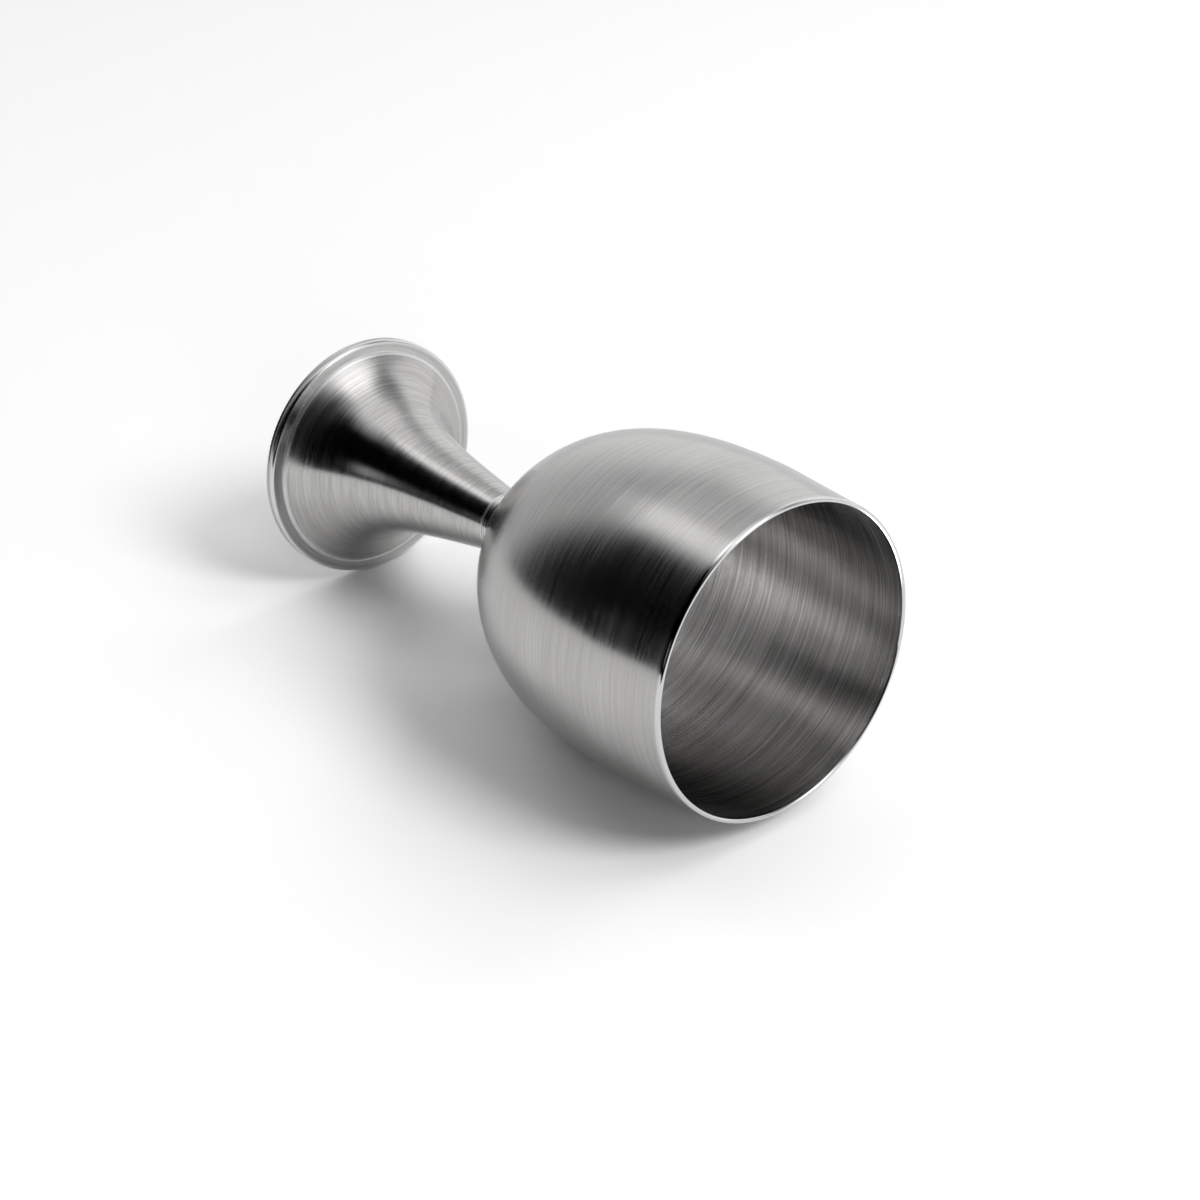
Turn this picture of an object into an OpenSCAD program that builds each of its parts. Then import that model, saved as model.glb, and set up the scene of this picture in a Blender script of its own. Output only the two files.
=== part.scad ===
// Stemmed drinking goblet in brushed steel sheet: a drawn bowl, a beaded collar and a hollow flared
// stem, clamped together by a stud under the bowl, with a plate closing the foot.
// Millimetres, +Z up to the mouth, origin where the axis meets the surface the goblet stands on.
// Almost every piece is an outline of [radius, height] points turned about the axis.

/* [Bowl] */
// Inside diameter of the mouth, at the lip
mouth_d = 70; // [67:0.5:73]
// Thickness of the bowl's sheet
bowl_wall = 1.1; // [0.7:0.1:1.4]
// Outside diameter of the bowl where it is widest
belly_d = 75.8; // [75:0.1:80]
// Depth of the widest place below the lip
belly_drop = 28.5; // [24:0.5:36]
// Height of the bowl from its seat on the collar to the lip
bowl_h = 91.5; // [82:0.1:104]
// Inward lean of the wall at the lip, in degrees
lip_lean = 4; // [0:0.5:7]
// How far the lean of the lip carries down the wall
lip_pull = 20; // [10:1:22]
// How far the belly stays upright above its widest place
belly_pull_up = 9.5; // [5:0.5:12]
// How far the belly stays upright below its widest place
belly_pull_down = 39; // [25:0.5:42]
// Lean of the wall just above the neck, in degrees from upright
bowl_lean = 43.2; // [36:0.1:48]
// How far that lean carries up the wall
bowl_pull = 22.5; // [14:0.5:30]
// Radius of the hollow between the neck and the wall above it
neck_fillet = 2; // [1:0.1:5]
// Height of the upright land under that hollow
neck_land = 0.3; // [0.3:0.1:1.5]

/* [Neck] */
// Diameter where the stem, the collar and the bowl meet
neck_d = 14.5; // [13:0.1:18]
// Height of the collar between the stem and the bowl
collar_h = 2.2; // [1.6:0.1:4]
// Height of the groove on each side of the collar's bead
groove_w = 0.35; // [0.2:0.05:0.5]
// Depth of those grooves
groove_depth = 0.4; // [0.2:0.05:0.6]
// How far the bead stands proud of the neck
bead_proud = 0.25; // [0:0.05:0.6]
// Depth of the collar's spigot inside the stem
spigot_h = 1; // [0.6:0.1:2]

/* [Stem and foot] */
// Height of the stem from the ground to the collar
stem_h = 55.2; // [48:0.1:80]
// Thickness of the stem's sheet
stem_sheet = 1; // [0.6:0.1:1.3]
// Lean of the stem just under the collar, in degrees
stem_lean = 9.8; // [4:0.1:12]
// How far that lean carries down the stem
stem_pull = 27.8; // [18:0.1:34]
// Diameter of the foot
foot_d = 60; // [54:0.5:72]
// Height of the foot's brim above the ground
brim_z = 2.7; // [2.4:0.1:4]
// Width of the flat brim, from the foot's edge to the step
brim_w = 2.9; // [2:0.1:5]
// Radius of the rounded shoulder at the foot's edge
shoulder_round = 0.7; // [0.3:0.1:1]
// Radius of the small step at the root of the flare
step_round = 0.6; // [0.3:0.1:1]
// Lean of the flare just above the step, in degrees from upright
flare_lean = 60.8; // [50:0.1:68]
// How far that lean carries up the flare
flare_pull = 16.3; // [10:0.1:22]

/* [Base plate] */
// Thickness of the plate, which is also the height of the seam round the foot
plate_t = 0.8; // [0.6:0.1:1]
// Rise of the plate's dished middle
dish_rise = 0.6; // [0.3:0.1:0.8]
// Width of the flat ring that the goblet stands on
rest_w = 4.8; // [3:0.1:8]
// Height of the plate's spigot inside the foot
plate_spigot_h = 0.7; // [0.4:0.1:0.8]
// Radial thickness of that spigot
plate_spigot_t = 1; // [0.8:0.1:2]

/* [Fastening] */
// Diameter of the stud
stud_d = 6; // [4:0.5:6]
// Length of the stud below its pad
stud_len = 24; // [22:0.5:30]
// Diameter of the pad that is brazed under the bowl
pad_d = 10; // [8:0.5:11]
// Thickness of that pad
pad_h = 0.9; // [0.6:0.1:1.2]
// Height of the tapered plug in the stem
plug_h = 12; // [8:0.5:13]
// Width of the nut across its flats
nut_af = 10; // [9:0.5:11]
// Height of the nut
nut_h = 5; // [3:0.5:6]
// Outside diameter of the spring washer
washer_d = 11; // [10:0.5:12]
// Thickness of the spring washer
washer_t = 1.2; // [0.8:0.1:1.6]
// Width of the cut in the spring washer
washer_cut = 1.2; // [0.8:0.1:2]

/* [Fits] */
// Clearance round a piece that slips into another
slip_gap = 0.1; // [0.05:0.05:0.2]
// Clearance round a piece that is pressed or wedged into another
press_gap = 0.05; // [0.02:0.01:0.08]
// Width of the broken edges
edge_break = 0.2; // [0.1:0.05:0.25]

/* [Hidden] */
$fn = 120;

mouth_r = mouth_d/2;
belly_r = belly_d/2;
neck_r = neck_d/2;
foot_r = foot_d/2;
stud_r = stud_d/2;

bowl_z = stem_h + collar_h;
top_z = bowl_z + bowl_h;
belly_z = top_z - belly_drop;

curve_steps = 28;
arc_steps = 8;
overlap = 0.01;

// Unit step that leans outwards or inwards from straight up
function lean_out(a) = [sin(a), cos(a)];
function lean_in(a) = [-sin(a), cos(a)];

// Cubic curve through four poles, its heading, and the same curve moved towards the axis
function curve_at(p, t) = (1 - t)^3*p[0] + 3*(1 - t)^2*t*p[1] + 3*(1 - t)*t^2*p[2] + t^3*p[3];
function curve_step(p, t) = (1 - t)^2*(p[1] - p[0]) + 2*(1 - t)*t*(p[2] - p[1]) + t^2*(p[3] - p[2]);
function heading(p, t) = curve_step(p, t)/norm(curve_step(p, t));
function inward_at(p, t, depth) = curve_at(p, t) + depth*[-heading(p, t)[1], heading(p, t)[0]];
function curve(p, depth, n) = [for (i = [0:n]) inward_at(p, i/n, depth)];

function arc(centre, r, from, to, n) =
    [for (i = [0:n]) let (a = from + (to - from)*i/n) centre + r*[cos(a), sin(a)]];
function reversed(list) = [for (i = [len(list) - 1:-1:0]) list[i]];

module turned(points) {
    rotate_extrude()
        polygon(points);
}

// Bowl: neck hollow, then one curve up to the belly and one on to the lip
fillet_centre = [neck_r + neck_fillet, bowl_z + neck_land];
wall_start = fillet_centre + neck_fillet*[-cos(bowl_lean), sin(bowl_lean)];
belly = [belly_r, belly_z];
lip_centre = [mouth_r + bowl_wall/2, top_z - bowl_wall/2];
lip_side = lip_centre + bowl_wall/2*[cos(lip_lean), sin(lip_lean)];
lower_wall = [wall_start, wall_start + bowl_pull*lean_out(bowl_lean), belly - [0, belly_pull_down], belly];
upper_wall = [belly, belly + [0, belly_pull_up], lip_side - lip_pull*lean_in(lip_lean), lip_side];

function bowl_side(depth) = concat(
    arc(fillet_centre, neck_fillet + depth, 180, 180 - bowl_lean, arc_steps),
    curve(lower_wall, depth, curve_steps),
    curve(upper_wall, depth, curve_steps/2));

bowl_seat = [[neck_r - edge_break, bowl_z], [neck_r, bowl_z + edge_break]];
bowl_floor = [[0, bowl_z], [neck_r - edge_break, bowl_z], [neck_r - bowl_wall + overlap, bowl_z + bowl_wall],
              [0, bowl_z + bowl_wall]];

module bowl() {
    color("silver")
        rotate_extrude() {
            polygon(concat(bowl_seat, bowl_side(0), reversed(bowl_side(bowl_wall))));
            polygon(bowl_floor);
            translate(lip_centre)
                circle(d = bowl_wall, $fn = 32);
        }
}

// Stem and foot: edge, shoulder, brim and step, then one curve up to the neck
shoulder_centre = [foot_r - shoulder_round, brim_z - shoulder_round];
step_centre = [foot_r - brim_w - step_round, brim_z];
flare_start = step_centre + step_round*[cos(flare_lean), sin(flare_lean)];
stem_end = [neck_r, stem_h - edge_break];
flare = [flare_start, flare_start + flare_pull*lean_in(flare_lean), stem_end - stem_pull*lean_in(stem_lean),
         stem_end];
skirt_r = foot_r - stem_sheet;
hollow_start = inward_at(flare, 0, stem_sheet);
hollow_end = inward_at(flare, 1, stem_sheet);

shell_outside = concat(
    [[foot_r - edge_break, plate_t], [foot_r, plate_t + edge_break]],
    arc(shoulder_centre, shoulder_round, 0, 90, arc_steps),
    arc(step_centre, step_round, 0, flare_lean, arc_steps),
    curve(flare, 0, curve_steps),
    [[neck_r - edge_break, stem_h]]);
shell_inside = concat(
    [[skirt_r, plate_t], [skirt_r, brim_z - stem_sheet], [hollow_start[0], brim_z - stem_sheet]],
    curve(flare, stem_sheet, curve_steps),
    [[hollow_end[0], stem_h]]);

module stem_foot() {
    color("silver")
        turned(concat(shell_outside, reversed(shell_inside)));
}

// Collar: spigot in the stem, bead between two grooves, recess for the stud's pad
groove_r = neck_r - groove_depth;
bead_half = collar_h/2 - groove_w;
bead_reach = groove_depth + bead_proud;
collar_bore_r = stud_r + slip_gap;
pad_recess_r = pad_d/2 + slip_gap;
pad_recess_z = bowl_z - pad_h - slip_gap;
spigot_r = hollow_end[0] - slip_gap;

bead = [for (a = [-90:180/(2*arc_steps):90])
    [groove_r + bead_reach*cos(a), stem_h + collar_h/2 + bead_half*sin(a)]];

module neck_collar() {
    color("gainsboro")
        turned(concat(
            [[collar_bore_r, stem_h - spigot_h], [spigot_r, stem_h - spigot_h], [spigot_r, stem_h],
             [groove_r, stem_h]],
            bead,
            [[groove_r, bowl_z], [pad_recess_r, bowl_z], [pad_recess_r, pad_recess_z],
             [collar_bore_r, pad_recess_z]]));
}

// Stud: a flat pad under the bowl and a straight shank down the stem
stud_top_z = bowl_z - pad_h;
stud_end_z = stud_top_z - stud_len;

module bowl_stud() {
    color("darkgray")
        turned([[0, stud_end_z], [stud_r - edge_break, stud_end_z], [stud_r, stud_end_z + edge_break],
                [stud_r, stud_top_z], [pad_d/2, stud_top_z], [pad_d/2, bowl_z], [0, bowl_z]]);
}

// Plug: follows the inside of the stem, so the nut wedges it upwards
plug_top_z = stem_h - spigot_h - slip_gap;
plug_z = plug_top_z - plug_h;

module taper_plug() {
    color("dimgray")
        rotate_extrude()
            intersection() {
                polygon(concat([[0, 0]], curve(flare, stem_sheet + press_gap, curve_steps), [[0, stem_h]]));
                translate([collar_bore_r, plug_z])
                    square([foot_r, plug_h]);
            }
}

// Spring washer and nut under the plug
washer_z = plug_z - washer_t;
nut_z = washer_z - nut_h;
nut_corner_r = nut_af/2/cos(30);
nut_bore_r = stud_r + press_gap;

module spring_washer() {
    color("gray")
        difference() {
            turned([[collar_bore_r, washer_z], [washer_d/2, washer_z], [washer_d/2, plug_z],
                    [collar_bore_r, plug_z]]);
            rotate([0, 0, 25])
                translate([0, -washer_cut/2, washer_z - overlap])
                    cube([washer_d, washer_cut, washer_t + 2*overlap]);
        }
}

module clamp_nut() {
    color("darkgray")
        difference() {
            intersection() {
                translate([0, 0, nut_z])
                    cylinder(r = nut_corner_r, h = nut_h, $fn = 6);
                turned([[0, nut_z], [nut_af/2, nut_z], [nut_corner_r, nut_z + nut_corner_r - nut_af/2],
                        [nut_corner_r, washer_z], [0, washer_z]]);
            }
            translate([0, 0, nut_z - overlap])
                cylinder(r = nut_bore_r, h = nut_h + 2*overlap);
        }
}

// Base plate: rim under the foot's skirt, standing ring and dished middle
rest_r = foot_r - rest_w - edge_break;
plate_spigot_r = skirt_r - press_gap;
plate_spigot_in = plate_spigot_r - plate_spigot_t;
dish_top_r = rest_r - dish_rise;

module base_plate() {
    color("gray")
        turned([[0, dish_rise], [dish_top_r, dish_rise], [rest_r, 0], [foot_r - edge_break, 0],
                [foot_r, edge_break], [foot_r, plate_t - edge_break], [foot_r - edge_break, plate_t],
                [plate_spigot_r, plate_t], [plate_spigot_r, plate_t + plate_spigot_h],
                [plate_spigot_in, plate_t + plate_spigot_h], [plate_spigot_in, plate_t],
                [rest_r, plate_t], [dish_top_r, dish_rise + plate_t], [0, dish_rise + plate_t]]);
}

bowl();
bowl_stud();
neck_collar();
stem_foot();
taper_plug();
spring_washer();
clamp_nut();
base_plate();
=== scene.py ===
import bpy
import math
from mathutils import Matrix, Vector


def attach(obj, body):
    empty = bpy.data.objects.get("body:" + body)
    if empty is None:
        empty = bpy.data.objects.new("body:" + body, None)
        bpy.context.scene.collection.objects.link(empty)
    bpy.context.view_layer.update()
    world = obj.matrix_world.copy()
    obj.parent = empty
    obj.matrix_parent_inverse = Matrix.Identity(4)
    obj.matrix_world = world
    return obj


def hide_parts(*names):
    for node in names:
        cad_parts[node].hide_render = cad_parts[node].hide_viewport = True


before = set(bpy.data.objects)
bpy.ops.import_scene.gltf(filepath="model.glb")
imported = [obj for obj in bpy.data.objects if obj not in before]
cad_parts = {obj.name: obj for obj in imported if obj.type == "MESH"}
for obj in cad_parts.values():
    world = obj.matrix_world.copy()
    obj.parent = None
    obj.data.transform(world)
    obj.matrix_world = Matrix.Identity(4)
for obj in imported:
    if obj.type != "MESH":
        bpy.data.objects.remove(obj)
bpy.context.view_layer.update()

sceneRoot = bpy.context.scene.collection
mm = 0.001
inDegrees = 180 / math.pi


# small helpers


def addNode(tree, kind, **settings):
    node = tree.nodes.new(kind)
    for name, value in settings.items():
        setattr(node, name, value)
    return node


def feed(tree, source, node, socket):
    # links a socket, or sets a plain value
    target = node.inputs[socket]
    if hasattr(source, "is_output"):
        tree.links.new(source, target)
    else:
        target.default_value = source


def mathNode(tree, operation, *values, clamp=False):
    node = addNode(tree, "ShaderNodeMath", operation=operation, use_clamp=clamp)
    for i, value in enumerate(values):
        feed(tree, value, node, i)
    return node.outputs[0]


def multiply(tree, a, b):
    return mathNode(tree, "MULTIPLY", a, b)


def mapRange(tree, value, low, high, toLow=0.0, toHigh=1.0, smooth=True):
    node = addNode(tree, "ShaderNodeMapRange", interpolation_type="SMOOTHSTEP" if smooth else "LINEAR")
    for socket, v in (("Value", value), ("From Min", low), ("From Max", high),
                      ("To Min", toLow), ("To Max", toHigh)):
        feed(tree, v, node, socket)
    return node.outputs[0]


def mixColour(tree, factor, a, b):
    # the colour sockets of a Mix node are 6 and 7, and its colour comes out of 2
    node = addNode(tree, "ShaderNodeMix", data_type="RGBA")
    for socket, v in ((0, factor), (6, a), (7, b)):
        feed(tree, v, node, socket)
    return node.outputs[2]


def dotWith(tree, source, axis):
    node = addNode(tree, "ShaderNodeVectorMath", operation="DOT_PRODUCT")
    feed(tree, source, node, 0)
    node.inputs[1].default_value = axis
    return node.outputs["Value"]


def splitPlace(tree, where):
    # x, y, z and the distance from the goblet's axis
    split = addNode(tree, "ShaderNodeSeparateXYZ")
    feed(tree, where, split, 0)
    x, y, z = split.outputs
    squares = mathNode(tree, "ADD", multiply(tree, x, x), multiply(tree, y, y))
    return x, y, z, mathNode(tree, "SQRT", squares)


def grey(level):
    return (level, level, level, 1.0)


# how the goblet lies: the table touches the belly and the edge of the foot

table = dict(
    up=(0.633396, -0.770812, 0.068251),
    right=(-0.61234, -0.44785, 0.65151),     # right in the picture
    away=(-0.47296, -0.45283, -0.75581),     # away from the viewer
    drop=0.029917,                           # from the middle of the foot down to the table
    left=0.75, rightSide=3.0, near=0.75, far=3.0,     # how far it reaches each way
)
tableUp = Vector(table["up"]).normalized()
tableRight = (Vector(table["right"]) - Vector(table["right"]).dot(tableUp) * tableUp).normalized()
tableAway = tableUp.cross(tableRight).normalized()
if tableAway.dot(Vector(table["away"])) < 0:
    tableAway = -tableAway


# camera

shot = dict(
    place=(0.39108, 0.0, 0.45739),
    right=(-0.61325659, -0.44673721, 0.65141556),
    down=(-0.29714768, 0.89459613, 0.33376791),
    lens=71.78,
    sensor=36.0,
    clip=(0.01, 50),
)


def makeCamera():
    right = Vector(shot["right"]).normalized()
    up = -Vector(shot["down"])
    up = (up - up.dot(right) * right).normalized()
    back = right.cross(up)
    data = bpy.data.cameras.new("photoCamera")
    data.lens = shot["lens"]
    data.sensor_width = shot["sensor"]
    data.sensor_fit = "HORIZONTAL"
    data.clip_start, data.clip_end = shot["clip"]
    camera = bpy.data.objects.new("photoCamera", data)
    sceneRoot.objects.link(camera)
    turn = Matrix((right, up, back)).transposed().to_4x4()
    camera.matrix_world = Matrix.Translation(Vector(shot["place"])) @ turn
    bpy.context.scene.camera = camera


makeCamera()
print("camera set")


# outlines: distance from the axis and height, in mm, with leans in degrees from upright;
# a pull is how far a curve keeps its direction

softEdge = dict(radius=0.2, steps=4)     # the small rounded edges


def vec(r, z):
    return Vector((r, z))


def leaning(angle):
    # upwards, leaning out from the axis
    a = math.radians(angle)
    return vec(math.sin(a), math.cos(a))


def polar(angle):
    a = math.radians(angle)
    return vec(math.cos(a), math.sin(a))


def curvePoints(poles, depth, count):
    # along a curve with four poles, moved to its left by a depth
    p0, p1, p2, p3 = poles
    points = []
    for i in range(count + 1):
        t = i / count
        s = 1 - t
        spot = s**3 * p0 + 3 * s * s * t * p1 + 3 * s * t * t * p2 + t**3 * p3
        along = (s * s * (p1 - p0) + 2 * s * t * (p2 - p1) + t * t * (p3 - p2)).normalized()
        points.append(spot + depth * vec(-along.y, along.x))
    return points


def arcPoints(centre, radius, start, end, count):
    return [centre + radius * polar(start + (end - start) * i / count) for i in range(count + 1)]


def roundedEdge(r, z, upward, start, end):
    # a soft edge in place of an outer corner at r, z
    reach = softEdge["radius"]
    return arcPoints(vec(r - reach, z - upward * reach), reach, start, end, softEdge["steps"])


bowlSize = dict(
    mouth=70.0, wall=1.1, belly=75.8, bellyDrop=28.5, height=91.5,
    lipLean=4.0, lipPull=20.0, pullUp=9.5, pullDown=39.0, lean=43.2, pull=22.5,
    fillet=2.0, land=0.3,
    floorLift=0.4, floorTuck=0.1, floorRun=0.6,     # how the wall turns into the floor inside
    filletSteps=8, lowerSteps=70, upperSteps=36, lipSteps=14, floorSteps=4,
)


def bowlOutline():
    s = bowlSize
    neck = neckSize["width"] / 2
    seat = stemSize["height"] + neckSize["collar"]
    top = seat + s["height"]
    wall = s["wall"]
    hollow = vec(neck + s["fillet"], seat + s["land"])
    start = hollow + s["fillet"] * polar(180 - s["lean"])
    belly = vec(s["belly"] / 2, top - s["bellyDrop"])
    lip = vec(s["mouth"] / 2 + wall / 2, top - wall / 2)
    lipSide = lip + wall / 2 * polar(s["lipLean"])
    lower = (start, start + s["pull"] * leaning(s["lean"]), belly - vec(0, s["pullDown"]), belly)
    upper = (belly, belly + vec(0, s["pullUp"]), lipSide - s["lipPull"] * leaning(-s["lipLean"]), lipSide)

    def side(depth):
        return (arcPoints(hollow, s["fillet"] + depth, 180, 180 - s["lean"], s["filletSteps"])
                + curvePoints(lower, depth, s["lowerSteps"])[1:]
                + curvePoints(upper, depth, s["upperSteps"])[1:])

    floorTop = seat + wall
    inside = [p for p in side(wall) if p.y > floorTop + s["floorLift"]]
    rounded = arcPoints(lip, wall / 2, s["lipLean"], 180 + s["lipLean"], s["lipSteps"])[1:-1]
    corner = vec(inside[0].x - s["floorTuck"], floorTop)
    floorEnd = corner - vec(s["floorRun"], 0)
    shares = [(i + 1) / s["floorSteps"] for i in range(s["floorSteps"])]
    floorCorner = [(1 - t)**2 * inside[0] + 2 * t * (1 - t) * corner + t * t * floorEnd for t in shares]
    skin = [vec(0, seat)] + roundedEdge(neck, seat, -1, -90, 0) + side(0) + rounded
    return skin + inside[::-1] + floorCorner + [vec(0, floorTop)], len(skin)


stemSize = dict(
    height=55.2, sheet=1.0, lean=9.8, pull=27.8, foot=60.0, brimZ=2.7, brimW=2.9,
    shoulder=0.7, step=0.6, flareLean=60.8, flarePull=16.3,
    topEdgeStart=10,     # degrees, where the flare's end meets the soft edge at the top
    flareSteps=60, shoulderSteps=9, stepSteps=7,
)


def stemPoles():
    s = stemSize
    neck = neckSize["width"] / 2
    step = vec(s["foot"] / 2 - s["brimW"] - s["step"], s["brimZ"])
    start = step + s["step"] * polar(s["flareLean"])
    end = vec(neck, s["height"] - softEdge["radius"])
    return step, (start, start + s["flarePull"] * leaning(-s["flareLean"]),
                  end - s["pull"] * leaning(-s["lean"]), end)


def stemOutline():
    s = stemSize
    foot = s["foot"] / 2
    neck = neckSize["width"] / 2
    thick = plateSize["thick"]
    step, flare = stemPoles()
    shoulder = vec(foot - s["shoulder"], s["brimZ"] - s["shoulder"])
    skirt = foot - s["sheet"]
    under = s["brimZ"] - s["sheet"]
    inside = curvePoints(flare, s["sheet"], s["flareSteps"])
    outside = (roundedEdge(foot, thick, -1, -90, 0)
               + arcPoints(shoulder, s["shoulder"], 0, 90, s["shoulderSteps"])
               + arcPoints(step, s["step"], 0, s["flareLean"], s["stepSteps"])
               + curvePoints(flare, 0, s["flareSteps"])[1:]
               + roundedEdge(neck, s["height"], 1, s["topEdgeStart"], 90)[1:])
    back = ([vec(inside[-1].x, s["height"])] + inside[::-1]
            + [vec(inside[0].x, under), vec(skirt, under), vec(skirt, thick)])
    return outside + back


neckSize = dict(
    width=14.5, collar=2.2, groove=0.35, grooveDepth=0.4, proud=0.25, spigot=1.0,
    bore=3.1, padBore=5.1, padDepth=1.0,     # round the stud and its pad
    fit=0.1,                                 # play of the spigot in the stem
    ridgeFill=0.94, ridgeSteps=12,
)


def collarOutline():
    s = neckSize
    low = stemSize["height"]
    high = low + s["collar"]
    groove = s["width"] / 2 - s["grooveDepth"]
    quarter = s["collar"] / 4 - s["groove"] / 2
    reach = s["grooveDepth"] + s["proud"]
    bead = []
    for side in (-1, 1):     # two fine ridges with a line between them
        middle = (low + high) / 2 + side * quarter
        for i in range(s["ridgeSteps"] + 1):
            way = polar(-90 + 180 * i / s["ridgeSteps"])
            bead.append(vec(groove + reach * way.x, middle + s["ridgeFill"] * quarter * way.y))
    stemHole = curvePoints(stemPoles()[1], stemSize["sheet"], 1)[-1].x
    spigot = stemHole - s["fit"]
    seat = high - s["padDepth"]
    foot = low - s["spigot"]
    return ([vec(s["bore"], foot), vec(spigot, foot), vec(spigot, low), vec(groove, low)] + bead
            + [vec(groove, high), vec(s["padBore"], high), vec(s["padBore"], seat), vec(s["bore"], seat)])


plateSize = dict(
    thick=0.8, dish=0.6, rest=4.8, spigot=0.7, spigotWall=1.0,
    fit=0.05,                        # play of the spigot in the foot
    dishEase=0.3, dishRound=0.08,    # how the dish levels out
)


def plateOutline():
    s = plateSize
    foot = stemSize["foot"] / 2
    rest = foot - s["rest"] - softEdge["radius"]
    dish = rest - s["dish"]
    spigot = foot - stemSize["sheet"] - s["fit"]
    inner = spigot - s["spigotWall"]
    t = s["thick"]
    return ([vec(0, s["dish"]), vec(dish - s["dishEase"], s["dish"]), vec(dish, s["dish"] - s["dishRound"]),
             vec(rest, 0.0)]
            + roundedEdge(foot, 0, -1, -90, 0) + roundedEdge(foot, t, 1, 0, 90)
            + [vec(spigot, t), vec(spigot, t + s["spigot"]), vec(inner, t + s["spigot"]), vec(inner, t),
               vec(rest, t), vec(dish, s["dish"] + t), vec(0, s["dish"] + t)])


# turning an outline about the axis

turning = dict(
    facets=256,
    crease=0.7,        # radians, past which an edge stays sharp
    weld=2e-6,         # metres
    spindle=1 * mm,    # radius of the circle that the outline runs round
)


def makeTurningTree():
    tree = bpy.data.node_groups.new("turnOutline", "GeometryNodeTree")
    for name, kind in (("Outline", "Geometry"), ("Facets", "Int"), ("Spindle", "Float"), ("Weld", "Float"),
                       ("Crease", "Float"), ("Finish", "Material"), ("Inside Finish", "Material")):
        tree.interface.new_socket(name, in_out="INPUT", socket_type="NodeSocket" + kind)
    tree.interface.new_socket("Turned", in_out="OUTPUT", socket_type="NodeSocketGeometry")
    given = addNode(tree, "NodeGroupInput").outputs
    section = addNode(tree, "GeometryNodeMeshToCurve")
    spindle = addNode(tree, "GeometryNodeCurvePrimitiveCircle", mode="RADIUS")
    upright = addNode(tree, "GeometryNodeSetCurveNormal", mode="Z_UP")
    sweep = addNode(tree, "GeometryNodeCurveToMesh")
    flip = addNode(tree, "GeometryNodeFlipFaces")
    weld = addNode(tree, "GeometryNodeMergeByDistance")
    smooth = addNode(tree, "GeometryNodeSetShadeSmooth", domain="FACE")
    angle = addNode(tree, "GeometryNodeInputMeshEdgeAngle")
    soft = addNode(tree, "FunctionNodeCompare", data_type="FLOAT", operation="LESS_THAN")
    crease = addNode(tree, "GeometryNodeSetShadeSmooth", domain="EDGE")
    realize = addNode(tree, "GeometryNodeRealizeInstances")
    finish = addNode(tree, "GeometryNodeSetMaterial")
    marked = addNode(tree, "GeometryNodeInputNamedAttribute", data_type="FLOAT")
    within = addNode(tree, "FunctionNodeCompare", data_type="FLOAT", operation="GREATER_THAN")
    lining = addNode(tree, "GeometryNodeSetMaterial")
    result = addNode(tree, "NodeGroupOutput")
    for source, node, socket in (
            (given["Outline"], section, 0),
            (given["Facets"], spindle, "Resolution"),
            (given["Spindle"], spindle, "Radius"),
            (spindle.outputs["Curve"], upright, "Curve"),
            (upright.outputs[0], sweep, "Curve"),
            (section.outputs[0], sweep, "Profile Curve"),
            (sweep.outputs[0], flip, 0),
            (flip.outputs[0], weld, 0),
            (given["Weld"], weld, "Distance"),
            (weld.outputs[0], smooth, 0),
            (smooth.outputs[0], crease, 0),
            (angle.outputs["Unsigned Angle"], soft, 0),
            (given["Crease"], soft, 1),
            (soft.outputs[0], crease, "Shade Smooth"),
            (crease.outputs[0], realize, 0),
            (realize.outputs[0], finish, 0),
            (given["Finish"], finish, "Material"),
            ("inside", marked, "Name"),
            (marked.outputs["Attribute"], within, 0),
            (0.5, within, 1),
            (finish.outputs[0], lining, 0),
            (within.outputs[0], lining, "Selection"),
            (given["Inside Finish"], lining, "Material"),
            (lining.outputs[0], result, 0)):
        feed(tree, source, node, socket)
    return tree


turningTree = makeTurningTree()


def turnPiece(name, outline, finish, closed=False, facets=turning["facets"], lining=None, insideFrom=0):
    # the outline hangs below the spindle circle, so its heights go in negative
    spindle = turning["spindle"]
    points = [(p.x * mm - spindle, -p.y * mm, 0) for p in outline]
    edges = [(i, i + 1) for i in range(len(points) - 1)]
    if closed:
        edges.append((len(points) - 1, 0))
    mesh = bpy.data.meshes.new(name + "Outline")
    mesh.from_pydata(points, edges, [])
    inside = mesh.attributes.new("inside", "FLOAT", "POINT")
    inside.data.foreach_set("value", [float(insideFrom and i >= insideFrom) for i in range(len(points))])
    pattern = bpy.data.objects.new(name + "Outline", mesh)
    sceneRoot.objects.link(pattern)
    turn = pattern.modifiers.new("turn", "NODES")
    turn.node_group = turningTree
    sockets = {s.name: s.identifier for s in turningTree.interface.items_tree if s.in_out == "INPUT"}
    for label, value in (("Facets", facets), ("Spindle", spindle), ("Weld", turning["weld"]),
                         ("Crease", turning["crease"]), ("Finish", finish),
                         ("Inside Finish", lining or finish)):
        turn[sockets[label]] = value
    evaluated = pattern.evaluated_get(bpy.context.evaluated_depsgraph_get())
    turned = bpy.data.meshes.new_from_object(evaluated)
    turned.name = name
    piece = bpy.data.objects.new(name, turned)
    sceneRoot.objects.link(piece)
    bpy.data.objects.remove(pattern)
    bpy.data.meshes.remove(mesh)
    print("turned", name, len(turned.polygons), "faces")
    return piece


# brushed steel

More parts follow.
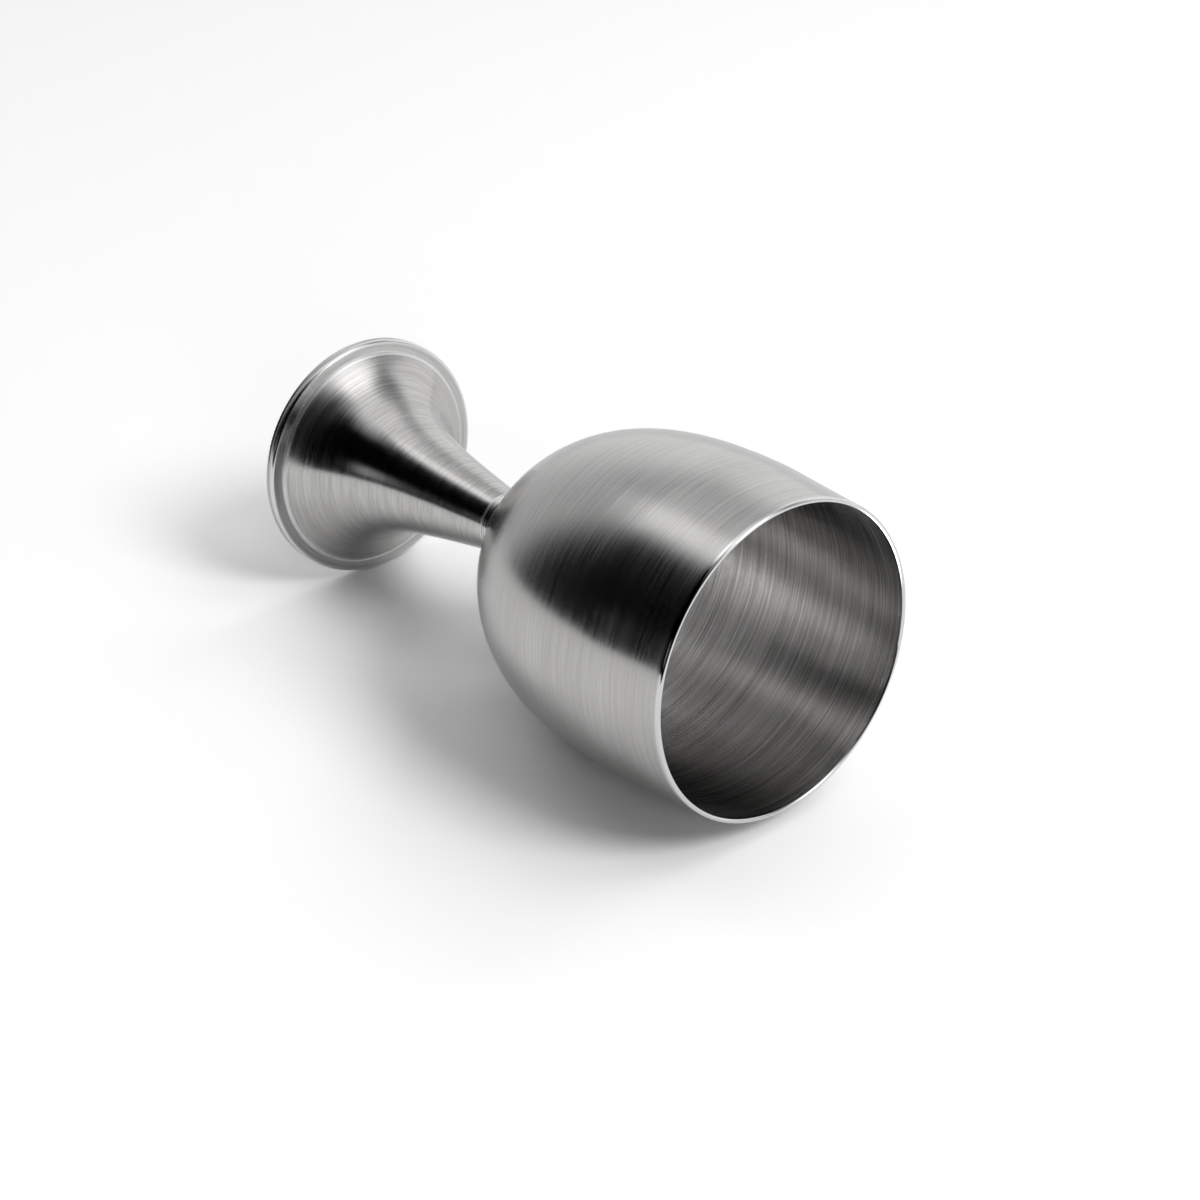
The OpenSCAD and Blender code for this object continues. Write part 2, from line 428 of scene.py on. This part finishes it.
plainSteel = dict(
    lines=2400.0,        # per metre
    length=1.6,          # round the axis, where a lower value makes longer lines
    tone=0.08,           # how far the lines stray from the level
    level=0.52,
    warmth=0.006,
    roughness=0.2,
    spread=0.05,         # of the roughness, with the lines
    smudge=0.03,
    bump=0.00001,        # metres
    anisotropic=0.7,
)
brushSockets = dict(
    lines="Lines per Metre", length="Line Length", tone="Tone", level="Base Level", warmth="Warmth",
    roughness="Roughness", spread="Roughness Spread", smudge="Smudge",
)
brushNoise = dict(
    fineDetail=3.0, fineRoughness=0.7, fineLow=0.28, fineHigh=0.72,
    broadLines=0.13, broadLength=0.5, broadDetail=2.0, broadRoughness=0.5,     # against the fine lines
    broadTone=0.35, broadHeight=0.25,
    cloudScale=42.0, cloudDetail=3.0, cloudLow=0.52, cloudHigh=0.75, cloudTone=0.5,
)


def makeBrushGroup():
    # fine lines that run round the axis, broken along their length, with longer soft bands and smudges
    n = brushNoise
    tree = bpy.data.node_groups.new("brushedLines", "ShaderNodeTree")
    for key, label in brushSockets.items():
        socket = tree.interface.new_socket(label, in_out="INPUT", socket_type="NodeSocketFloat")
        socket.default_value = plainSteel[key]
    for label, kind in (("Colour", "Color"), ("Roughness", "Float"), ("Height", "Float")):
        tree.interface.new_socket(label, in_out="OUTPUT", socket_type="NodeSocket" + kind)
    given = addNode(tree, "NodeGroupInput").outputs
    where = addNode(tree, "ShaderNodeTexCoord").outputs["Object"]
    x, y, z, radius = splitPlace(tree, where)
    safe = mathNode(tree, "MAXIMUM", radius, 1e-5)     # so that nothing divides by zero on the axis
    cosine = mathNode(tree, "DIVIDE", x, safe)
    sine = mathNode(tree, "DIVIDE", y, safe)

    def linePattern(perMetre, around, detail, rough):
        place = addNode(tree, "ShaderNodeCombineXYZ")
        feed(tree, multiply(tree, radius, perMetre), place, 0)
        feed(tree, multiply(tree, z, perMetre), place, 1)
        feed(tree, multiply(tree, cosine, around), place, 2)
        noise = addNode(tree, "ShaderNodeTexNoise", noise_dimensions="4D")
        for source, socket in ((place.outputs[0], "Vector"), (multiply(tree, sine, around), "W"),
                               (1.0, "Scale"), (detail, "Detail"), (rough, "Roughness")):
            feed(tree, source, noise, socket)
        return noise.outputs["Fac"]

    perMetre, length = given["Lines per Metre"], given["Line Length"]
    fine = mapRange(tree, linePattern(perMetre, length, n["fineDetail"], n["fineRoughness"]),
                    n["fineLow"], n["fineHigh"], smooth=False)
    broad = linePattern(multiply(tree, perMetre, n["broadLines"]), multiply(tree, length, n["broadLength"]),
                        n["broadDetail"], n["broadRoughness"])
    cloud = addNode(tree, "ShaderNodeTexNoise")
    feed(tree, where, cloud, "Vector")
    feed(tree, n["cloudScale"], cloud, "Scale")
    feed(tree, n["cloudDetail"], cloud, "Detail")
    smudge = mapRange(tree, cloud.outputs["Fac"], n["cloudLow"], n["cloudHigh"])

    fineSigned = mathNode(tree, "MULTIPLY_ADD", fine, 2.0, -1.0)
    broadSigned = mathNode(tree, "MULTIPLY_ADD", broad, 2.0, -1.0)
    both = mathNode(tree, "ADD", fineSigned, multiply(tree, broadSigned, n["broadTone"]))
    level = mathNode(tree, "MULTIPLY_ADD", both, given["Tone"], given["Base Level"])
    darker = multiply(tree, smudge, multiply(tree, given["Smudge"], n["cloudTone"]))
    level = mathNode(tree, "SUBTRACT", level, darker)
    colour = addNode(tree, "ShaderNodeCombineColor")
    feed(tree, mathNode(tree, "ADD", level, given["Warmth"]), colour, 0)
    feed(tree, level, colour, 1)
    feed(tree, mathNode(tree, "SUBTRACT", level, given["Warmth"]), colour, 2)
    roughness = mathNode(tree, "MULTIPLY_ADD", both, given["Roughness Spread"], given["Roughness"])
    roughness = mathNode(tree, "ADD", roughness, multiply(tree, smudge, given["Smudge"]))
    result = addNode(tree, "NodeGroupOutput")
    feed(tree, colour.outputs[0], result, "Colour")
    feed(tree, roughness, result, "Roughness")
    feed(tree, mathNode(tree, "MULTIPLY_ADD", broad, n["broadHeight"], fine), result, "Height")
    return tree


brushGroup = makeBrushGroup()
bandSockets = ("Low", "High", "Inner", "Outer", "Soft")


def makeHighlightBandGroup():
    # where an edge gets a lighter grey, a painted highlight, with its own roughness and less relief: 1
    # between two heights and two radii, with soft ends
    tree = bpy.data.node_groups.new("polishAndHighlightBand", "ShaderNodeTree")
    for name in bandSockets:
        tree.interface.new_socket(name, in_out="INPUT", socket_type="NodeSocketFloat")
    tree.interface.new_socket("Mask", in_out="OUTPUT", socket_type="NodeSocketFloat")
    given = addNode(tree, "NodeGroupInput").outputs
    z, radius = splitPlace(tree, addNode(tree, "ShaderNodeTexCoord").outputs["Object"])[2:]

    def between(value, low, high):
        rise = mathNode(tree, "DIVIDE", mathNode(tree, "SUBTRACT", value, low), given["Soft"])
        fall = mathNode(tree, "DIVIDE", mathNode(tree, "SUBTRACT", high, value), given["Soft"])
        return mathNode(tree, "MINIMUM", rise, fall)

    mask = mathNode(tree, "MINIMUM", between(z, given["Low"], given["High"]),
                    between(radius, given["Inner"], given["Outer"]))
    result = addNode(tree, "NodeGroupOutput")
    feed(tree, mathNode(tree, "ADD", mask, 0.5, clamp=True), result, "Mask")
    return tree


highlightBandGroup = makeHighlightBandGroup()
polishTakes = 0.7     # share of the lines' relief that polishing takes off
quarterTurn = 0.25    # turns the anisotropy along the lines


def makeSteel(name, bands=(), **changes):
    s = {**plainSteel, **changes}
    material = bpy.data.materials.new(name)
    material.use_nodes = True
    tree = material.node_tree
    shader = next(n for n in tree.nodes if n.type == "BSDF_PRINCIPLED")
    brush = addNode(tree, "ShaderNodeGroup", node_tree=brushGroup)
    for key, label in brushSockets.items():
        brush.inputs[label].default_value = s[key]
    colour, rough, height = (brush.outputs[label] for label in ("Colour", "Roughness", "Height"))
    for band in bands:
        zone = addNode(tree, "ShaderNodeGroup", node_tree=highlightBandGroup)
        for label in bandSockets:
            zone.inputs[label].default_value = band[label.lower()] * mm
        mask = zone.outputs["Mask"]
        # inside each band the colour turns to a lighter grey, a painted highlight along the edge; its
        # roughness and relief change with it
        colour = mixColour(tree, mask, colour, grey(band["level"]))
        rough = mathNode(tree, "ADD", multiply(tree, rough, mathNode(tree, "SUBTRACT", 1.0, mask)),
                         multiply(tree, mask, band["rough"]))
        left = mathNode(tree, "SUBTRACT", 1.0, multiply(tree, mask, polishTakes))
        height = multiply(tree, height, left)
    relief = addNode(tree, "ShaderNodeBump")
    feed(tree, s["bump"], relief, "Distance")
    feed(tree, height, relief, "Height")
    around = addNode(tree, "ShaderNodeTangent", direction_type="RADIAL", axis="Z")
    for source, socket in ((colour, "Base Color"), (rough, "Roughness"), (relief.outputs[0], "Normal"),
                           (around.outputs[0], "Tangent"), (1.0, "Metallic"),
                           (s["anisotropic"], "Anisotropic"), (quarterTurn, "Anisotropic Rotation")):
        feed(tree, source, shader, socket)
    return material


# the pieces: a finish says only where it differs from plainSteel, and its bands are in mm

seatZ = stemSize["height"] + neckSize["collar"]
bowlTop = seatZ + bowlSize["height"]
# the bands' levels are painted highlights on the lip and edges; their roughness is smoother on the lip and
# rougher on the neck edges and the step
lipBand = dict(low=bowlTop - 1.0, high=bowlTop + 2, inner=20, outer=50, soft=0.5, level=0.72, rough=0.09)
neckEdge = dict(inner=6.8, outer=7.6, soft=0.15, level=0.85, rough=0.42)
shoulderBand = dict(low=1.6, high=3.1, inner=29.2, outer=32, soft=0.5, level=0.74, rough=0.2)
stepBand = dict(low=2.6, high=3.35, inner=25.9, outer=27.3, soft=0.3, level=0.88, rough=0.45)

bowlSteel = makeSteel("brushedBowl", bands=(lipBand, dict(neckEdge, low=seatZ, high=seatZ + 0.4)))
bowlInside = makeSteel("turnedInside", bands=(lipBand,), lines=2500.0, length=1.3, tone=0.28, level=0.57,
                       roughness=0.22, spread=0.04, bump=0.000003, anisotropic=0.85)
stemSteel = makeSteel("brushedStem", bands=(shoulderBand, stepBand, dict(neckEdge, low=54.8, high=55.4)),
                      lines=2200.0, tone=0.13, bump=0.000012)
collarSteel = makeSteel("turnedCollar", lines=5200.0, length=1.2, tone=0.04, level=0.66, roughness=0.12,
                        spread=0.03, smudge=0.01, bump=0.000002, anisotropic=0.4)
plateSteel = makeSteel("plateSteel", lines=1300.0, length=2.5, tone=0.14, roughness=0.22, spread=0.07,
                       smudge=0.12)
studSteel = makeSteel("studSteel", lines=2600.0, length=1.0, level=0.42, roughness=0.3)
plugAluminium = makeSteel("plugAluminium", lines=1800.0, length=1.0, tone=0.05, level=0.68, roughness=0.32)
washerSteel = makeSteel("springSteel", lines=1500.0, length=6.0, tone=0.07, level=0.22, roughness=0.38,
                        warmth=0.004)
nutZinc = makeSteel("zincNut", lines=900.0, length=12.0, tone=0.1, level=0.5, roughness=0.34,
                    warmth=0.012, smudge=0.1)

bowlSection, bowlLining = bowlOutline()
bowl = turnPiece("bowlShell", bowlSection, bowlSteel, lining=bowlInside, insideFrom=bowlLining)
stem = turnPiece("stemAndFoot", stemOutline(), stemSteel, closed=True)
collar = turnPiece("beadedCollar", collarOutline(), collarSteel, closed=True, facets=160)
plate = turnPiece("footPlate", plateOutline(), plateSteel)

for piece, node, slot in ((bowl, "bowl", "bowl_steel"), (stem, "stem_foot", "stem_steel"),
                          (collar, "neck_collar", "collar_steel"), (plate, "base_plate", "plate_steel")):
    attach(piece, "root")
    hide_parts(node)

for node, finish in (("bowl_stud", studSteel), ("taper_plug", plugAluminium),
                     ("spring_washer", washerSteel), ("clamp_nut", nutZinc)):
    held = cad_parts[node]
    if not held.material_slots:
        held.data.materials.append(finish)
    for slot in held.material_slots:
        slot.material = finish
print("pieces dressed")


# table and light

# Bearings are degrees round the table, clockwise from straight away; heights are degrees above it.
# A part of the sky has the bearing of its middle, its reach and fade to either side, and the heights
# over which it begins and ends.

fromBelow = (-91, -90)
light = dict(
    world=1.0,           # plain level of the white tent
    worldOnTable=0.5,    # its share on the table, so that the lamps' shadow shows
    tableShown=1.43,     # the table's whiteness for the camera
    tableMirrored=0.7,   # how much of that the steel sees
    tableColour=0.5,     # its grey under the lamps
    shades=(
        dict(middle=-125, reach=52, fade=20, begin=fromBelow, end=(56, 88), times=0.0),
        dict(middle=175, reach=22, fade=25, begin=fromBelow, end=(48, 85), times=0.05),
        dict(middle=160, reach=12, fade=22, begin=fromBelow, end=(26, 48), times=0.3),
        dict(middle=-52, reach=8, fade=46, begin=fromBelow, end=(34, 52), times=0.6),
        dict(middle=15, reach=60, fade=40, begin=(28, 42), end=(46, 62), times=0.55),
        dict(middle=66, reach=16, fade=12, begin=(34, 44), end=(56, 72), times=0.5),
        dict(middle=89, reach=7, fade=9, begin=fromBelow, end=(36, 48), times=0.5),
    ),
    glows=(
        dict(middle=112, reach=14, fade=14, begin=(28, 42), end=(52, 66), level=1.0),
        dict(middle=-50, reach=5, fade=18, begin=(40, 50), end=(56, 68), level=0.65),
        dict(middle=-118, reach=2, fade=10, begin=(2, 8), end=(14, 22), level=0.5),
    ),
    # these throw the shadow on the table; placed from the middle of the mouth
    lamps=(
        dict(name="keySoftbox", bearing=126, height=46, away=2.4, size=1.0, power=20.0),
        dict(name="rightFill", bearing=80, height=60, away=2.4, size=1.0, power=5.2),
        dict(name="backRightFill", bearing=40, height=45, away=2.4, size=1.0, power=4.8),
        dict(name="viewerFill", bearing=166, height=22, away=2.4, size=1.2, power=10.0),
        dict(name="leftFill", bearing=-60, height=55, away=2.4, size=1.6, power=3.0),
    ),
    # a white card, placed from the middle of the mouth, and a white patch, placed right and away
    # from the spot on the table below it; only the steel sees them
    card=dict(name="mouthCard", bearing=113, height=20, away=0.6, size=0.14, level=3.0, spread=180),
    patch=dict(name="mouthPatch", right=0.042, away=-0.026, lift=0.001, size=0.07, level=13.0, spread=106),
)


def makeTable():
    centre = -tableUp * table["drop"]
    corners = [centre + a * tableRight + b * tableAway
               for a, b in ((-table["left"], -table["near"]), (table["rightSide"], -table["near"]),
                            (table["rightSide"], table["far"]), (-table["left"], table["far"]))]
    mesh = bpy.data.meshes.new("table")
    mesh.from_pydata([tuple(c) for c in corners], [], [(0, 1, 2, 3)])
    mesh.update()
    if mesh.polygons[0].normal.dot(tableUp) < 0:
        mesh.flip_normals()
    board = bpy.data.objects.new("table", mesh)
    sceneRoot.objects.link(board)
    material = bpy.data.materials.new("whiteTable")
    material.use_nodes = True
    tree = material.node_tree
    tree.nodes.clear()
    path = addNode(tree, "ShaderNodeLightPath").outputs
    inSteel = mathNode(tree, "ADD", path["Is Glossy Ray"], path["Is Transmission Ray"])
    mirrored = mathNode(tree, "SUBTRACT", inSteel, path["Diffuse Depth"], clamp=True)
    mirrored = multiply(tree, mirrored, light["tableMirrored"])
    seen = mathNode(tree, "ADD", path["Is Camera Ray"], mirrored, clamp=True)
    cloth = addNode(tree, "ShaderNodeBsdfDiffuse")
    feed(tree, mixColour(tree, seen, grey(light["tableColour"]), grey(light["tableShown"])), cloth, "Color")
    clear = addNode(tree, "ShaderNodeBsdfTransparent")
    mix = addNode(tree, "ShaderNodeMixShader")
    feed(tree, addNode(tree, "ShaderNodeNewGeometry").outputs["Backfacing"], mix, 0)     # clear from below
    feed(tree, cloth.outputs[0], mix, 1)
    feed(tree, clear.outputs[0], mix, 2)
    out = addNode(tree, "ShaderNodeOutputMaterial")
    feed(tree, mix.outputs[0], out, "Surface")
    board.data.materials.append(material)


def makeWorld():
    # a white tent, open and dark on the viewer's side and to the left, lighter again overhead
    world = bpy.data.worlds.new("softTent")
    bpy.context.scene.world = world
    world.use_nodes = True
    tree = world.node_tree
    tree.nodes.clear()
    heading = addNode(tree, "ShaderNodeTexCoord").outputs["Generated"]
    up, right, away = (dotWith(tree, heading, axis) for axis in (tableUp, tableRight, tableAway))
    height = multiply(tree, mathNode(tree, "ARCSINE", up), inDegrees)

    def turnFrom(middle):
        # degrees round the table on either side of a bearing
        m = math.radians(middle)
        sine, cosine = math.sin(m), math.cos(m)
        side = mathNode(tree, "SUBTRACT", multiply(tree, right, cosine), multiply(tree, away, sine))
        front = mathNode(tree, "ADD", multiply(tree, right, sine), multiply(tree, away, cosine))
        return multiply(tree, mathNode(tree, "ARCTAN2", side, front), inDegrees)

    def skyPart(area):
        # 1 inside a part of the sky, with soft sides
        turn = mathNode(tree, "ABSOLUTE", turnFrom(area["middle"]))
        past = mapRange(tree, turn, area["reach"], area["reach"] + area["fade"])
        above = mapRange(tree, height, *area["end"])
        wide = mathNode(tree, "SUBTRACT", 1.0, past)
        high = mathNode(tree, "SUBTRACT", 1.0, above)
        low = mapRange(tree, height, *area["begin"])
        return multiply(tree, multiply(tree, wide, high), low)

    level = light["world"]
    for area in light["shades"]:
        keep = mathNode(tree, "MULTIPLY_ADD", skyPart(area), area["times"] - 1.0, 1.0)
        level = multiply(tree, level, keep)
    for area in light["glows"]:
        level = mathNode(tree, "MULTIPLY_ADD", skyPart(area), area["level"], level)
    colour = addNode(tree, "ShaderNodeCombineColor")
    for channel in range(3):
        feed(tree, level, colour, channel)
    path = addNode(tree, "ShaderNodeLightPath").outputs
    mirrored = mathNode(tree, "SUBTRACT", path["Is Glossy Ray"], path["Diffuse Depth"], clamp=True)
    share = mapRange(tree, mirrored, 0.0, 1.0, light["worldOnTable"], 1.0, smooth=False)
    lit = mixColour(tree, share, grey(0.0), colour.outputs[0])
    shown = mixColour(tree, path["Is Camera Ray"], lit, grey(1.0))     # white behind the goblet
    sky = addNode(tree, "ShaderNodeBackground")
    feed(tree, shown, sky, "Color")
    out = addNode(tree, "ShaderNodeOutputWorld")
    feed(tree, sky.outputs[0], out, "Surface")


def addDisc(name, place, way, size, power, forSteel, spread=180):
    # a round lamp facing along way, seen either by the steel alone or by the table alone
    data = bpy.data.lights.new(name, "AREA")
    data.shape = "DISK"
    data.size = size
    data.energy = power
    data.spread = math.radians(spread)
    lamp = bpy.data.objects.new(name, data)
    lamp.location = place
    lamp.rotation_euler = way.to_track_quat("-Z", "Y").to_euler()
    lamp.visible_camera = False
    lamp.visible_glossy = forSteel
    lamp.visible_diffuse = not forSteel
    sceneRoot.objects.link(lamp)


def addWhite(spot, place, way):
    # a disc as bright as its level, which is power / (pi x area), and more where a narrow spread gathers it
    power = spot["level"] * math.pi * math.pi * (spot["size"] / 2)**2
    if spot["spread"] < 180:
        half = math.radians(spot["spread"] / 2)
        power *= 1 - half / math.tan(half)
    addDisc(spot["name"], place, way, spot["size"], power, True, spot["spread"])


def wayTo(spot):
    turn, lift = math.radians(spot["bearing"]), math.radians(spot["height"])
    flat = math.sin(turn) * tableRight + math.cos(turn) * tableAway
    return math.cos(lift) * flat + math.sin(lift) * tableUp


makeTable()
makeWorld()
mouthMiddle = Vector((0, 0, bowlTop * mm))
belowMouth = mouthMiddle - (mouthMiddle.dot(tableUp) + table["drop"]) * tableUp
for lamp in light["lamps"]:
    way = wayTo(lamp)
    addDisc(lamp["name"], mouthMiddle + lamp["away"] * way, -way, lamp["size"], lamp["power"], False)
card, patch = light["card"], light["patch"]
addWhite(card, mouthMiddle + card["away"] * wayTo(card), -wayTo(card))
patchPlace = belowMouth + patch["right"] * tableRight + patch["away"] * tableAway
addWhite(patch, patchPlace + patch["lift"] * tableUp, tableUp)
bpy.context.scene.view_settings.view_transform = "Standard"
print("table and light set")
